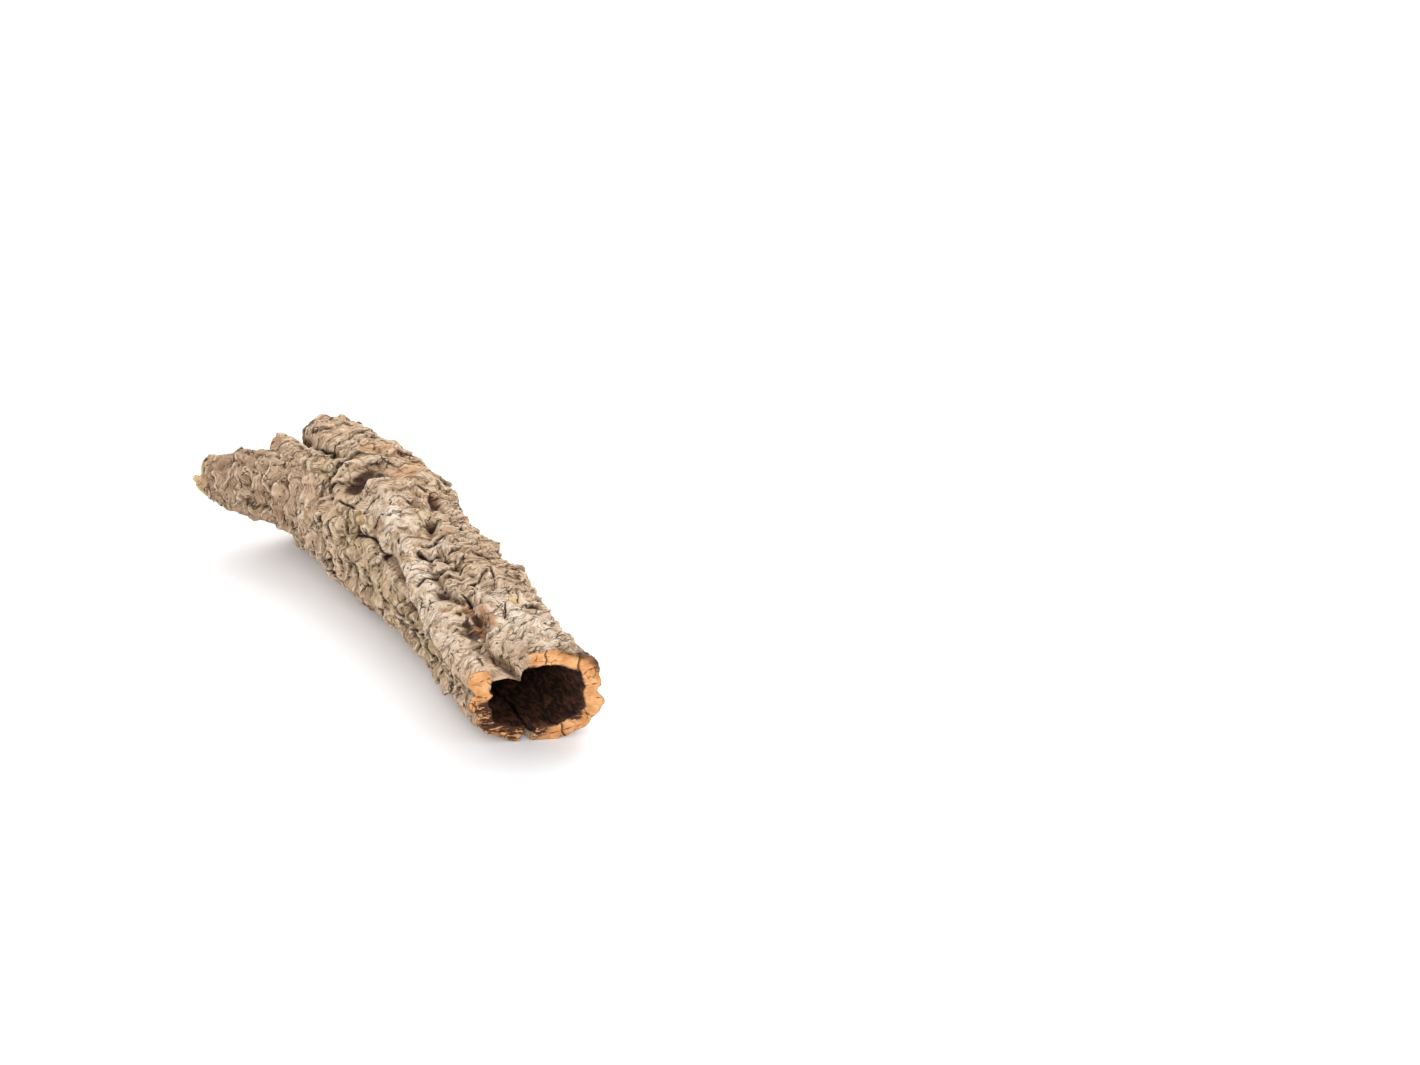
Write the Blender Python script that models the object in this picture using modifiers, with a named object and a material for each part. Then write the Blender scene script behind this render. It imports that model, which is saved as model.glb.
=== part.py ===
"""Piece of cork bark: a hollow tube, sawn off at one end and broken at the other, with a short side branch.

All lengths are in millimetres until the finished solid is scaled to metres. X runs along the tube
towards its sawn end and Z is up. Angles run round the tube in degrees: 0 is its +Y side, 90 its top.
"""

import bmesh
import bpy
import numpy as np
from mathutils import Matrix, Vector, noise

MM = 0.001
HAIR = 0.05

# Middle of the piece's outer box, which becomes the origin
MIDDLE = (33.3, -18.7)

# Sections along the trunk: x, then the centre's y and z, half width and half height
TRUNK = [
    (-118, -12, 38.5, 34, 34.5), (-85, -7, 37.5, 36, 35.5), (-60, -3, 38, 39, 37), (-35, 1, 38, 40, 37.5),
    (-10, 3.5, 37, 40, 37), (20, 5.5, 34.5, 37, 34.5), (45, 6, 33, 35.5, 33), (90, 9, 32, 35, 32),
    (140, 8, 31.5, 35.5, 32), (192, 8.5, 31.5, 36, 32),
]
# Sections along the side branch and its hollow: distance from the root, side, height and half sizes
BRANCH = [
    (0, 0, 40, 30, 28), (30, -4, 43, 24, 22.5), (50, -5, 44.5, 20.5, 20), (67, -5, 44.5, 17, 17),
    (81, -5, 43.5, 13.5, 12.8), (90, -6, 44.5, 9.5, 9), (97, -6, 45.5, 5.5, 5),
]
BRANCH_HOLLOW = [
    (2, 0, 40, 13, 15), (30, -1, 42, 13, 14), (50, -3, 44, 12, 12.5), (67, -4.5, 44.5, 11, 11),
    (81, -5, 43.5, 8.5, 8), (100, -6, 45, 6, 5.5),
]
BRANCH_ROOT = (-52, -14, 0)
BRANCH_HEADING = 224
ROUNDNESS = 2.3
BARK_RADIUS = 35.0

# Wall of cork, its thinnest place, and the share of each furrow's depth that also shows inside
TRUNK_WALL, THIN_WALL = 10.5, 4.0
FURROW_INSIDE = 0.7

# Furrows: the path's angle at each x, the depth at each x, and the half width
FURROWS = [
    # main valley along the top, deepest at the sawn end
    ([(-30, 50), (0, 50), (15, 68), (31, 82), (57, 108), (74, 120), (93, 124), (106, 118), (127, 120),
      (150, 129), (168, 126), (192, 119)],
     [(-40, 0), (0, 4), (40, 4.5), (90, 5), (130, 6), (150, 8), (168, 14), (192, 15)], 6),
    # long furrow on the left of the smooth strap
    ([(-5, 146), (26, 137), (44, 138), (60, 145), (74, 160), (104, 177), (137, 174), (192, 168)],
     [(-10, 0), (15, 4), (46, 6), (100, 6), (151, 5), (192, 3)], 5),
    # break between the branch and the upper rim
    ([(-118, 110), (-98, 110), (-80, 113), (-57, 106), (-40, 100)],
     [(-118, 14), (-98, 13), (-86, 8), (-70, 4), (-57, 3), (-40, 0)], 3.5),
    # fold where the branch leaves the trunk
    ([(-80, 155), (-45, 138), (-25, 122)], [(-90, 3), (-60, 4), (-25, 2), (-10, 0)], 5),
    # flanks and back
    ([(-60, 190), (0, 184), (60, 192), (120, 197), (192, 200)], [(-60, 0), (0, 4), (60, 5), (192, 4)], 5),
    ([(-60, 15), (0, 10), (60, 14), (120, 20), (192, 22)], [(-60, 0), (0, 3), (60, 4), (192, 3)], 5),
    ([(-80, -30), (0, -20), (80, -8), (192, 2)], [(-80, 0), (-30, 4), (60, 5), (192, 4)], 6),
]
# Raised bands: the path's angle at each x, the height at each x, and the half width
BANDS = [
    # smooth strap that runs down the middle of the top
    ([(-3, 104), (18, 109), (39, 117), (56, 131), (75, 141), (91, 148), (109, 151), (137, 156), (192, 155)],
     [(-15, 0), (10, 3), (60, 4), (110, 4), (192, 3)], 9),
    # thick upper rim at the broken end
    ([(-118, 58), (-85, 58), (-50, 60)], [(-118, 3), (-65, 3), (-45, 0)], 14),
]
# Knot holes, pits and lumps: x, angle, half length, half width and height (a hole's is negative)
BUMPS = [
    (-18, 103, 4.5, 15, -6), (131, 119, 6, 6, -7), (112, 114, 5, 7, -5), (91, 131, 4, 5, -4),
    (30, 81, 4, 4, -6), (55, 115, 4, 4, -3), (8, 60, 6, 4, -5), (67, 187, 5, 5, -5), (80, 165, 4, 4, -4),
    (18, 190, 6, 4, -4), (24, 80, 6, 6, 4.5), (54, 98, 10, 7, 3), (-32, 111, 7, 12, 4),
    (-102, 120, 7, 7, 3), (155, 95, 8, 7, 2), (95, 79, 10, 9, 2), (-12, 44, 14, 14, 5),
    (82, 40, 16, 12, 3), (182, 45, 12, 10, 3),
]
# Crumpled bark: length and width of one swelling or plate, and its height
SWELLING = (34, 17, 3.2)
PLATE = (17, 10, 2.2)
# Swellings: how fast they fade as they get finer, the next one's scale, and how many there are
FADE, FINER, SCALES = 0.8, 2, 3
# Plates: how much their outlines bend, and the share of a plate over which its edge rises
PLATE_BEND, PLATE_EDGE = 0.5, 0.6
BEND_SHIFTS = [Vector((0, 0, 0)), Vector((31, 5, 17)), Vector((11, 43, 29))]
# The branch is smooth where it roots in the trunk, and takes its bark from another stretch of the pattern
BRANCH_SMOOTH_TO, BRANCH_ROUGH_FROM = 10, 30
BRANCH_SHIFT = 315

# The sawn face leans: its x at y = z = 0, and what y and z add to it
SAWN_X, SAWN_BY_Y, SAWN_BY_Z = 161, 0.38, 0.17
# The broken end: its mean x, and how far the break wanders along x and over what length
BROKEN_X, BREAK_DEPTH, BREAK_LENGTH = -101, 7, 13
BREAK_FACETS = 26
# Where the hollow leaves the broken end
HOLLOW_END = -110
# The branch's open tip: distance from the root on its middle line, how the break slants, and its breadth
TIP_AT, TIP_SLOPE, TIP_BREADTH = 90, 1.3, 90
# The slit under the tube: y, and its two ends in x with the width there, and in z
SLIT_Y = 4.5
SLIT_X, SLIT_WIDTHS = (-35, 221), (1.4, 7)
SLIT_Z = (-20, 28)
# Cutting blocks reach well past the piece
REACH = 200

# Facets: along and around
TRUNK_ROWS, TRUNK_COLUMNS = 56, 50
BORE_ROWS, BORE_COLUMNS = 30, 30
BRANCH_ROWS, BRANCH_COLUMNS = 15, 26
BRANCH_BORE_ROWS, BRANCH_BORE_COLUMNS = 6, 16


def clear_scene():
    for item in list(bpy.data.objects):
        bpy.data.objects.remove(item)


def make_collection(name):
    collection = bpy.data.collections.new(name)
    bpy.context.scene.collection.children.link(collection)
    return collection


def cork_material():
    material = bpy.data.materials.new("cork bark")
    material.use_nodes = True
    surface = material.node_tree.nodes["Principled BSDF"]
    surface.inputs["Base Color"].default_value = (0.43, 0.32, 0.23, 1)
    surface.inputs["Roughness"].default_value = 0.9
    surface.inputs["Metallic"].default_value = 0.0
    return material


def between(x, points):
    """Smooth curve through (x, value) points."""
    xs, ys = np.array(points, dtype=float).T
    x = np.clip(x, xs[0], xs[-1])
    slope = np.gradient(ys, xs)
    i = np.clip(np.searchsorted(xs, x) - 1, 0, len(xs) - 2)
    step = xs[i + 1] - xs[i]
    t = (x - xs[i]) / step
    start = (1 + 2 * t) * (1 - t) ** 2 * ys[i] + t * (1 - t) ** 2 * step * slope[i]
    return start + t * t * (3 - 2 * t) * ys[i + 1] + t * t * (t - 1) * step * slope[i + 1]


def ease(low, high, value):
    t = np.clip((value - low) / (high - low), 0, 1)
    return t * t * (3 - 2 * t)


def section(x, stations):
    """Centre's y and z, half width and half height of the section at x."""
    return [between(x, [(s[0], s[i]) for s in stations]) for i in (1, 2, 3, 4)]


def oval(angle, half_width, half_height):
    turn = np.radians(angle)
    flat = np.abs(np.cos(turn) / half_width) ** ROUNDNESS + np.abs(np.sin(turn) / half_height) ** ROUNDNESS
    return flat ** (-1 / ROUNDNESS)


def arc_from(angle, middle):
    """Distance round the bark from the middle angle, in millimetres."""
    return np.radians((angle - middle + 180) % 360 - 180) * BARK_RADIUS


def furrows(x, angle):
    """Depth of the long furrows, as a negative height."""
    height = np.zeros_like(x)
    for path, depth, width in FURROWS:
        away = arc_from(angle, between(x, path))
        height -= between(x, depth) * np.exp(1 / width - np.sqrt(away ** 2 + 1) / width)
    return height


def bands_and_bumps(x, angle):
    height = np.zeros_like(x)
    for path, rise, width in BANDS:
        height += between(x, rise) * np.exp(-(arc_from(angle, between(x, path)) / width) ** 2)
    for at, middle, length, width, rise in BUMPS:
        away = ((x - at) / length) ** 2 + (arc_from(angle, middle) / width) ** 2
        height += rise * np.exp(-away)
    return height


def crumple(x, angle, radius):
    """Swellings and plates of the crumpled bark."""
    length, width, rise = SWELLING
    plate_length, plate_width, plate_rise = PLATE
    turn = np.radians(angle)
    round_bark = np.stack([x, radius * np.cos(turn), radius * np.sin(turn)], axis=1)
    height = []
    for place in round_bark:
        swelling = noise.fractal(place / (length, width, width), FADE, FINER, SCALES)
        spot = Vector(place / (plate_length, plate_width, plate_width))
        bend = Vector([noise.noise(spot + shift) for shift in BEND_SHIFTS])
        near, second = noise.voronoi(spot + PLATE_BEND * bend)[0][:2]
        height.append(rise * swelling + plate_rise * (ease(0, PLATE_EDGE, second - near) - PLATE_EDGE))
    return np.array(height)


def trunk_inside(x, angle):
    y, z, half_width, half_height = section(x, TRUNK)
    return y, z, oval(angle, half_width, half_height) - TRUNK_WALL + FURROW_INSIDE * furrows(x, angle)


def trunk_outside(x, angle):
    y, z, half_width, half_height = section(x, TRUNK)
    relief = furrows(x, angle) + bands_and_bumps(x, angle) + crumple(x, angle, BARK_RADIUS)
    inside = trunk_inside(x, angle)[2]
    return y, z, np.maximum(oval(angle, half_width, half_height) + relief, inside + THIN_WALL)


def branch_outside(x, angle):
    y, z, half_width, half_height = section(x, BRANCH)
    relief = crumple(x + BRANCH_SHIFT, angle, half_width) * ease(BRANCH_SMOOTH_TO, BRANCH_ROUGH_FROM, x)
    return y, z, oval(angle, half_width, half_height) + relief


def branch_inside(x, angle):
    y, z, half_width, half_height = section(x, BRANCH_HOLLOW)
    return y, z, oval(angle, half_width, half_height)


def make_tube(name, start, end, rows, columns, shape):
    """Grid wrapped round the X axis to the given shape, with its seam and ends closed."""
    bpy.ops.mesh.primitive_grid_add(x_subdivisions=rows, y_subdivisions=columns, size=2)
    tube = bpy.context.object
    tube.name = name
    mesh = bmesh.new()
    mesh.from_mesh(tube.data)
    grid = np.array([vertex.co[:2] for vertex in mesh.verts])
    x = start + (end - start) * (grid[:, 0] + 1) / 2
    angle = 180 * (grid[:, 1] + 1)
    y, z, radius = shape(x, angle % 360)
    turn = np.radians(angle)
    places = np.stack([x, y + radius * np.cos(turn), z + radius * np.sin(turn)], axis=1)
    for vertex, place in zip(mesh.verts, places):
        vertex.co = place
    bmesh.ops.remove_doubles(mesh, verts=mesh.verts, dist=0.001)
    bmesh.ops.holes_fill(mesh, edges=[edge for edge in mesh.edges if edge.is_boundary], sides=0)
    bmesh.ops.recalc_face_normals(mesh, faces=mesh.faces)
    bmesh.ops.triangulate(mesh, faces=mesh.faces)
    mesh.to_mesh(tube.data)
    mesh.free()
    return tube


def place_on_branch(tube):
    tube.data.transform(Matrix.Translation(BRANCH_ROOT) @ Matrix.Rotation(np.radians(BRANCH_HEADING), 4, "Z"))


def make_block(name, size, middle):
    bpy.ops.mesh.primitive_cube_add(size=1)
    block = bpy.context.object
    block.name = name
    block.data.transform(Matrix.Translation(middle) @ Matrix.Diagonal((*size, 1)))
    return block


def make_saw_cut():
    """Block whose near face is the leaning sawn face."""
    block = make_block("saw cut", (REACH, REACH, REACH), (REACH / 2, 0, 0))
    for vertex in block.data.vertices:
        lean = SAWN_BY_Y * vertex.co.y + SAWN_BY_Z * vertex.co.z
        vertex.co.x += SAWN_X + lean
    return block


def make_break():
    """Block past the broken end, with a ragged face."""
    bpy.ops.mesh.primitive_grid_add(x_subdivisions=BREAK_FACETS, y_subdivisions=BREAK_FACETS, size=REACH)
    sheet = bpy.context.object
    sheet.name = "broken end"
    for vertex in sheet.data.vertices:
        z, y = vertex.co.xy
        spot = Vector((y, z, 0)) / BREAK_LENGTH
        vertex.co = (BROKEN_X + BREAK_DEPTH * noise.noise(spot), y, z)
    thick = sheet.modifiers.new("thickness", "SOLIDIFY")
    thick.thickness = REACH / 2
    thick.offset = 1
    sheet.modifiers.new("flat facets", "TRIANGULATE")
    return sheet


def make_tip_cut():
    block = make_block("branch tip cut", [TIP_BREADTH] * 3, (TIP_BREADTH / 2, 0, BRANCH[-1][2]))
    for vertex in block.data.vertices:
        vertex.co.x += TIP_AT + TIP_SLOPE * vertex.co.y
    place_on_branch(block)
    return block


def make_slit():
    """Wedge that runs out under the tube."""
    middle_x, middle_z = sum(SLIT_X) / 2, sum(SLIT_Z) / 2
    wedge = make_block("slit", (SLIT_X[1] - SLIT_X[0], 1, SLIT_Z[1] - SLIT_Z[0]), (middle_x, 0, middle_z))
    for vertex in wedge.data.vertices:
        vertex.co.y *= SLIT_WIDTHS[0] if vertex.co.x < middle_x else SLIT_WIDTHS[1]
        vertex.co.y += SLIT_Y
    return wedge


def combine(target, other, operation):
    """Boolean with the other object, applied at once."""
    boolean = target.modifiers.new(other.name, "BOOLEAN")
    boolean.object = other
    boolean.operation = operation
    evaluated = target.evaluated_get(bpy.context.evaluated_depsgraph_get())
    joined = bpy.data.meshes.new_from_object(evaluated)
    target.modifiers.clear()
    target.data = joined


def make_bark():
    """Trunk broken off and joined to its branch, then hollowed, sawn and laid flat."""
    trunk_start, trunk_end = TRUNK[0][0], TRUNK[-1][0]
    bark = make_tube("bark", trunk_start, trunk_end, TRUNK_ROWS, TRUNK_COLUMNS, trunk_outside)
    broken_end = make_break()
    combine(bark, broken_end, "DIFFERENCE")
    branch = make_tube("branch", BRANCH[0][0], BRANCH[-1][0], BRANCH_ROWS, BRANCH_COLUMNS, branch_outside)
    place_on_branch(branch)
    combine(bark, branch, "UNION")
    hollow = make_tube("hollow", HOLLOW_END, trunk_end + 3, BORE_ROWS, BORE_COLUMNS, trunk_inside)
    branch_hollow = make_tube("branch hollow", BRANCH_HOLLOW[0][0], BRANCH_HOLLOW[-1][0],
                              BRANCH_BORE_ROWS, BRANCH_BORE_COLUMNS, branch_inside)
    place_on_branch(branch_hollow)
    floor = make_block("floor", (3 * REACH, 3 * REACH, REACH), (0, 0, -REACH / 2))
    tools = [hollow, branch_hollow, make_saw_cut(), make_tip_cut(), make_slit(), floor]
    for tool in tools:
        combine(bark, tool, "DIFFERENCE")
    return bark, [broken_end, branch, *tools]


def finish(bark):
    """Close up the cuts' hair-thin leftovers, and scale to metres about the middle of the footprint."""
    mesh = bmesh.new()
    mesh.from_mesh(bark.data)
    bmesh.ops.remove_doubles(mesh, verts=mesh.verts, dist=HAIR)
    bmesh.ops.dissolve_degenerate(mesh, edges=mesh.edges, dist=HAIR)
    mesh.to_mesh(bark.data)
    mesh.free()
    bark.data.transform(Matrix.Scale(MM, 4) @ Matrix.Translation((-MIDDLE[0], -MIDDLE[1], 0)))
    bark.data.materials.clear()
    bark.data.materials.append(cork_material())
    bark.data.shade_smooth()
    bark.data.set_sharp_from_angle(angle=np.radians(35))


def main():
    clear_scene()
    part, cutters = make_collection("piece_of_bark"), make_collection("cutters")
    bark, tools = make_bark()
    finish(bark)
    for item in [bark, *tools]:
        for collection in item.users_collection:
            collection.objects.unlink(item)
    part.objects.link(bark)
    for tool in tools:
        cutters.objects.link(tool)
        tool.hide_render = True
        tool.display_type = "WIRE"


main()
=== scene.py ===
"""Dresses the piece of cork bark with one fine mesh: bark, sawn face, broken ends and hollow.

Lengths are in millimetres until the mesh is made, in the design frame of the CAD part, whose values for the
large forms are repeated here. X runs along the tube towards its sawn end and Z is up. Angles run round the
tube in degrees: 0 is its +Y side, 90 its top.
"""

from itertools import product

import bmesh
import bpy
import numpy as np
import openvdb
from mathutils import Matrix, Vector, geometry, noise


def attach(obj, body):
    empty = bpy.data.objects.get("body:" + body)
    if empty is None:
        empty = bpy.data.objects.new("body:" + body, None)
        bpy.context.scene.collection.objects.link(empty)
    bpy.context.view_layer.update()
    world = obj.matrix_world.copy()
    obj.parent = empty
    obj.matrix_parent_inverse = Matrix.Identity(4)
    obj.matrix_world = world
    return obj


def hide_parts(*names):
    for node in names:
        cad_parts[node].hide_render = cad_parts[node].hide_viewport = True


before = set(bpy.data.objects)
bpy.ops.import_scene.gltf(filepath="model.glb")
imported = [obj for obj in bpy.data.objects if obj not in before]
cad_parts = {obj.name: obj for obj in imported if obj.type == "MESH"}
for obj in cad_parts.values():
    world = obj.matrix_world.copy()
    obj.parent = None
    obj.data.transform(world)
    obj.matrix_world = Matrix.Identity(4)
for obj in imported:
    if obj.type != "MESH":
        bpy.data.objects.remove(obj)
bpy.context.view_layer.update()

MM = 0.001

# Large forms, as in the CAD part

MIDDLE = (33.3, -18.7)
TRUNK = [
    (-118, -12, 38.5, 34, 34.5), (-85, -7, 37.5, 36, 35.5), (-60, -3, 38, 39, 37), (-35, 1, 38, 40, 37.5),
    (-10, 3.5, 37, 40, 37), (20, 5.5, 34.5, 37, 34.5), (45, 6, 33, 35.5, 33), (90, 9, 32, 35, 32),
    (140, 8, 31.5, 35.5, 32), (192, 8.5, 31.5, 36, 32),
]
BRANCH = [
    (0, 0, 40, 30, 28), (30, -4, 43, 24, 22.5), (50, -5, 44.5, 20.5, 20), (67, -5, 44.5, 17, 17),
    (81, -5, 43.5, 13.5, 12.8), (90, -6, 44.5, 9.5, 9), (97, -6, 45.5, 5.5, 5),
]
BRANCH_HOLLOW = [
    (2, 0, 40, 13, 15), (30, -1, 42, 13, 14), (50, -3, 44, 12, 12.5), (67, -4.5, 44.5, 11, 11),
    (81, -5, 43.5, 8.5, 8), (100, -6, 45, 6, 5.5),
]
BRANCH_ROOT = (-52, -14)
BRANCH_HEADING = 224
ROUNDNESS = 2.3
BARK_RADIUS = 35.0
TRUNK_WALL, THIN_WALL = 10.5, 4.0
FURROW_INSIDE = 0.7
FURROWS = [
    ([(-30, 50), (0, 50), (15, 68), (31, 82), (57, 108), (74, 120), (93, 124), (106, 118), (127, 120),
      (150, 129), (168, 126), (192, 119)],
     [(-40, 0), (0, 4), (40, 4.5), (90, 5), (130, 6), (150, 8), (168, 14), (192, 15)], 6),
    ([(-5, 146), (26, 137), (44, 138), (60, 145), (74, 160), (104, 177), (137, 174), (192, 168)],
     [(-10, 0), (15, 4), (46, 6), (100, 6), (151, 5), (192, 3)], 5),
    ([(-118, 110), (-98, 110), (-80, 113), (-57, 106), (-40, 100)],
     [(-118, 14), (-98, 13), (-86, 8), (-70, 4), (-57, 3), (-40, 0)], 3.5),
    ([(-80, 155), (-45, 138), (-25, 122)], [(-90, 3), (-60, 4), (-25, 2), (-10, 0)], 5),
    ([(-60, 190), (0, 184), (60, 192), (120, 197), (192, 200)], [(-60, 0), (0, 4), (60, 5), (192, 4)], 5),
    ([(-60, 15), (0, 10), (60, 14), (120, 20), (192, 22)], [(-60, 0), (0, 3), (60, 4), (192, 3)], 5),
    ([(-80, -30), (0, -20), (80, -8), (192, 2)], [(-80, 0), (-30, 4), (60, 5), (192, 4)], 6),
]
BANDS = [
    ([(-3, 104), (18, 109), (39, 117), (56, 131), (75, 141), (91, 148), (109, 151), (137, 156), (192, 155)],
     [(-15, 0), (10, 3), (60, 4), (110, 4), (192, 3)], 9),
    ([(-118, 58), (-85, 58), (-50, 60)], [(-118, 3), (-65, 3), (-45, 0)], 14),
]
BUMPS = [
    (-18, 103, 4.5, 15, -6), (131, 119, 6, 6, -7), (112, 114, 5, 7, -5), (91, 131, 4, 5, -4),
    (30, 81, 4, 4, -6), (55, 115, 4, 4, -3), (8, 60, 6, 4, -5), (67, 187, 5, 5, -5), (80, 165, 4, 4, -4),
    (18, 190, 6, 4, -4), (24, 80, 6, 6, 4.5), (54, 98, 10, 7, 3), (-32, 111, 7, 12, 4),
    (-102, 120, 7, 7, 3), (155, 95, 8, 7, 2), (95, 79, 10, 9, 2), (-12, 44, 14, 14, 5),
    (82, 40, 16, 12, 3), (182, 45, 12, 10, 3),
]
SWELLING = (34, 17, 3.2)
PLATE = (17, 10, 2.2)
FADE, FINER, SCALES = 0.8, 2, 3
PLATE_BEND, PLATE_EDGE = 0.5, 0.6
BEND_SHIFTS = [Vector((0, 0, 0)), Vector((31, 5, 17)), Vector((11, 43, 29))]
BRANCH_SMOOTH_TO, BRANCH_ROUGH_FROM = 10, 30
BRANCH_SHIFT = 315
SAWN_X, SAWN_BY_Y, SAWN_BY_Z = 161, 0.38, 0.17
BROKEN_X = -101
HOLLOW_END = -110
TIP_AT, TIP_SLOPE = 90, 1.3
SLIT_Y = 4.5
SLIT_X, SLIT_WIDTHS = (-35, 221), (1.4, 7)
SLIT_TOP = 28
# Here alone: how far the slit wanders, the lengths of its waves, its width inside as a share, and its mouth
SLIT_WANDER, SLIT_WAVES = 1.8, (7, 11, 5)
SLIT_INSIDE, SLIT_MOUTH = 0.35, (-9, 0)
# Waves of the broken end, of which the CAD part has the first: depth and length
BREAK_WAVES = [(7, 13), (1.0, 3.1), (0.4, 1.5)]

# Fine forms

# Creased lumps, from large to small: length, width and rise
LUMPS = [(18, 12, 3.8), (7, 15, 1.8)]
# Power that rounds them, and their mean level
LUMP_SHAPE, LUMP_LEVEL = 0.8, 0.33
# How widely and how far lumps, plates, torn cracks and fibres are pushed about
LUMP_PUSH, PLATE_PUSH, CRACKLE_PUSH, FIBRE_PUSH = (17, 8), (8, 5), (5, 2.5), (9, 2.5)
# Calmer patches: size, and share of lumps and of plates that they keep
CALM_SIZE, CALM_LUMPS, CALM_PLATES = 21, 0.35, 0.45
# How smooth the bark is at the sawn face, where this grows, and how smooth on the branch
CALM_AT_SAW, CALM_BEFORE_SAW, BRANCH_CALM = 0.9, (-18, -3), 0.1
# Share of lumps, plates and torn cracks that is kept where the bark is smooth
SMOOTH_LUMPS, SMOOTH_PLATES, SMOOTH_CRACKLE = 0.3, 0.25, 0.2
# Share of the CAD part's plates and of the layers that is lost there
LOST_PLATES, LOST_LAYERS = 0.35, 0.6
# Share of the fine relief that shows over the thinnest wall, and its depth there
FINE_OVER_THIN, DEEPEST_FINE = 0.7, -1.5
# Tilted plates: length, width, difference in level, tilt, and the gaps' depth and width
TILTED_PLATE = (8, 14, 2, 2.6, 0.35, 0.13)
# Edges of layers on each plate: spacing, height, turn either way in degrees, and crest
PLATE_EDGES = (3.2, 0.8, 55, 0.8)
# Torn cracks: length, width and share of the bark that they open; and depth
CRACKLE, CRACKLE_DEPTH = (8, 13, 0.09), 2.2
# Size of the patches that show the edges, and of those with torn cracks
EDGE_PATCH, CRACKLE_PATCH = 15, 19
# Layers: thickness, where the step lies in each, and the share of the relief that is stepped
LAYER, LAYER_STEP, LAYERED = 1.25, (0.55, 0.95), 0.4
# Lining: size and rise of fibres and soft lumps, the radii that they are drawn at, and the branch's share
FIBRE, FIBRE_RISE = (14, 2.2, 2.2), 0.7
SOFT_LUMP, SOFT_LUMP_RISE = (13, 7, 7), 1.6
LINING_RADIUS, BRANCH_LINING_RADIUS, BRANCH_FIBRES = 25, 10, 0.4
# Places where the bark lies smoother: x, angle, half length and half width
SMOOTH_PLACES = [
    (16, 113, 26, 15), (135, 84, 26, 16), (158, 62, 22, 18), (100, 62, 20, 12), (-20, 60, 16, 16),
    (108, 150, 30, 8), (60, 133, 26, 8), (172, 352, 18, 14), (150, 155, 34, 12), (-92, 160, 22, 16),
    (-24, 0, 16, 14),
]
# Rows of stacked edges across the grain: crest, fade at the ends, bow and wander
RIB_CREST, RIB_FADE, RIB_BOW, RIB_WANDER = 0.75, 4, 0.02, 0.8
# Each row: first and last x, path of the angle, half width, spacing, height
RIBS = [
    ((6, 66), [(6, 50), (36, 66), (66, 78)], 12, 4.6, 1.7),
    ((6, 52), [(6, 151), (52, 150)], 6, 3.1, 1.2),
    ((-48, -24), [(-48, 112), (-24, 112)], 12, 3.4, 1.2),
    ((84, 100), [(84, 118), (100, 118)], 6, 3, 1.2),
    ((-40, 10), [(-40, 165), (10, 168)], 10, 4, 1.3),
    ((66, 118), [(66, 172), (118, 165)], 9, 3.6, 1.2),
    ((72, 150), [(72, 50), (150, 42)], 12, 5.2, 1.2),
]
# Height of strokes at their ends, as a share, and how far folds and cracks wander
STROKE_ENDS, FOLD_WANDER, CRACK_WANDER = 0.35, 0.8, 0.25
# Standing folds and lips: points of x and angle, height and half width
FOLDS = [
    ([(108, 120), (114, 110), (123, 104), (134, 103)], 4.4, 1.7),
    ([(126, 122), (136, 127), (148, 131)], 2, 2), ([(112, 122), (116, 133), (126, 140)], 1.8, 2.2),
    ([(-34, 122), (-32, 108), (-34, 92), (-28, 78)], 3.4, 2.6),
    ([(-13, 112), (-12, 97), (-7, 84)], 2.4, 2.6),
    ([(-52, 90), (-53, 74), (-48, 65), (-40, 59)], 2.6, 2.2), ([(3, 144), (18, 134), (37, 135)], 2.2, 2.2),
    ([(150, 107), (156, 108), (160, 102), (157, 94), (151, 93)], 2.2, 1.6),
    ([(-71, 143), (-57, 145), (-46, 150)], 2.2, 1.8), ([(-57, 153), (-43, 153)], 1.8, 1.6),
    ([(0, 137), (6, 132)], 2.6, 2), ([(-97, 182), (-82, 181), (-67, 178)], 1.7, 1.9),
    ([(-60, 119), (-54, 142)], 1.5, 1.6), ([(-90, 120), (-76, 113), (-62, 108)], 1.8, 1.7),
    ([(76, 141), (70, 128), (71, 112)], 1.8, 1.8), ([(97, 115), (111, 116)], 1.8, 1.6),
    ([(22, 73), (28, 71), (36, 77)], 2, 2), ([(-8, 79), (2, 66)], 2, 2),
    ([(148, 146), (162, 143)], 1.5, 2), ([(60, 99), (57, 80)], 1.6, 1.8),
    ([(100, 62), (116, 72), (126, 92)], 1.6, 2.2), ([(-104, 160), (-106, 178)], 2, 3),
]
# Extra depth of the knots and pits: x, angle, half length, half width and height
PITS = [
    (126, 130, 8, 3.6, -6), (138, 136, 6, 3, -4), (123, 114, 5, 3.5, -4.5), (-24, 113, 4.5, 9, -5),
    (-26, 98, 4, 8, -5), (-18, 89, 5, 3, -4), (31, 80, 3, 2.5, -3.5), (3, 58, 3.5, 3, -3),
    (9, 55, 3, 2.5, -3), (51, 114, 2.5, 2.5, -2.5), (88, 130, 4, 3, -2.5), (156, 100, 3, 4, -2),
    (62, 160, 3, 3, -3), (70, 165, 3, 3, -3),
]
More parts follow.
